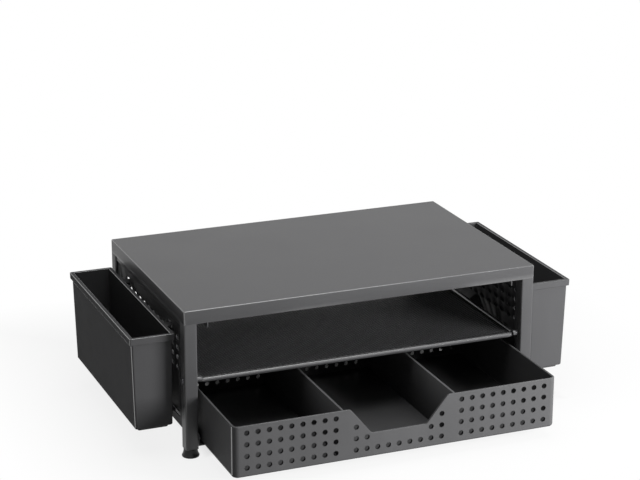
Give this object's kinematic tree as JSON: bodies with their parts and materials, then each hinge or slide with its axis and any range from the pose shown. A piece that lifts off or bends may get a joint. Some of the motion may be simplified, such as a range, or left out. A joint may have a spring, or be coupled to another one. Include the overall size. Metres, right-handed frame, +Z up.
{
  "type": "laptop stand with drawer",
  "caption": "Black two-tier metal laptop stand with a mesh shelf, a perforated pull-out drawer and a pen holder hung on each side.",
  "frame": {"origin": "the point on the desk under the middle of the whole, with the drawer pulled out 82 mm as at rest; the middle of the four feet lies 40 mm behind it", "axes": "+X to the right seen from the front, +Y towards the back, +Z up; the drawer pulls out along -Y"},
  "size_m": [0.4496, 0.312, 0.144],
  "materials": {
    "frame_steel": "satin black powder coat with a fine grain",
    "shelf_steel": "satin black powder coat on wire and mesh",
    "drawer_plastic": "smooth semi-gloss black moulded plastic",
    "holder_plastic": "smooth semi-gloss black moulded plastic",
    "foot_plastic": "black moulded plastic with a faint grain",
    "fastener_steel": "black oxide steel"
  },
  "bodies": {
    "frame": {"top_panel": "frame_steel", "leg_front_left": "frame_steel", "leg_front_right": "frame_steel", "leg_rear_left": "frame_steel", "leg_rear_right": "frame_steel", "foot_front_left": "foot_plastic", "foot_front_right": "foot_plastic", "foot_rear_left": "foot_plastic", "foot_rear_right": "foot_plastic", "side_rail_left": "frame_steel", "side_rail_right": "frame_steel", "top_nuts": "fastener_steel", "side_panel_left": "frame_steel", "side_panel_right": "frame_steel", "shelf_rim": "shelf_steel", "shelf_mesh": "shelf_steel", "shelf_support_wires": "shelf_steel", "shelf_lugs_left": "shelf_steel", "shelf_lugs_right": "shelf_steel", "shelf_screws_left": "fastener_steel", "shelf_screws_right": "fastener_steel", "drawer_runner_left": "frame_steel", "drawer_runner_right": "frame_steel", "runner_screws_left": "fastener_steel", "runner_screws_right": "fastener_steel"},
    "drawer": {"drawer_tray": "drawer_plastic", "drawer_divider_left": "drawer_plastic", "drawer_divider_right": "drawer_plastic"},
    "left_holder": {"pen_holder_left": "holder_plastic"},
    "right_holder": {"pen_holder_right": "holder_plastic"}
  },
  "joints": [
    {"name": "drawer_slide", "type": "slide", "parent": "frame", "child": "drawer", "axis": [0, -1, 0], "range_m": [-0.082, 0.068]},
    {"name": "left_holder_lift", "type": "slide", "parent": "frame", "child": "left_holder", "axis": [0, 0, 1], "range_m": [0, 0.0028]},
    {"name": "right_holder_lift", "type": "slide", "parent": "frame", "child": "right_holder", "axis": [0, 0, 1], "range_m": [0, 0.0028]}
  ]
}
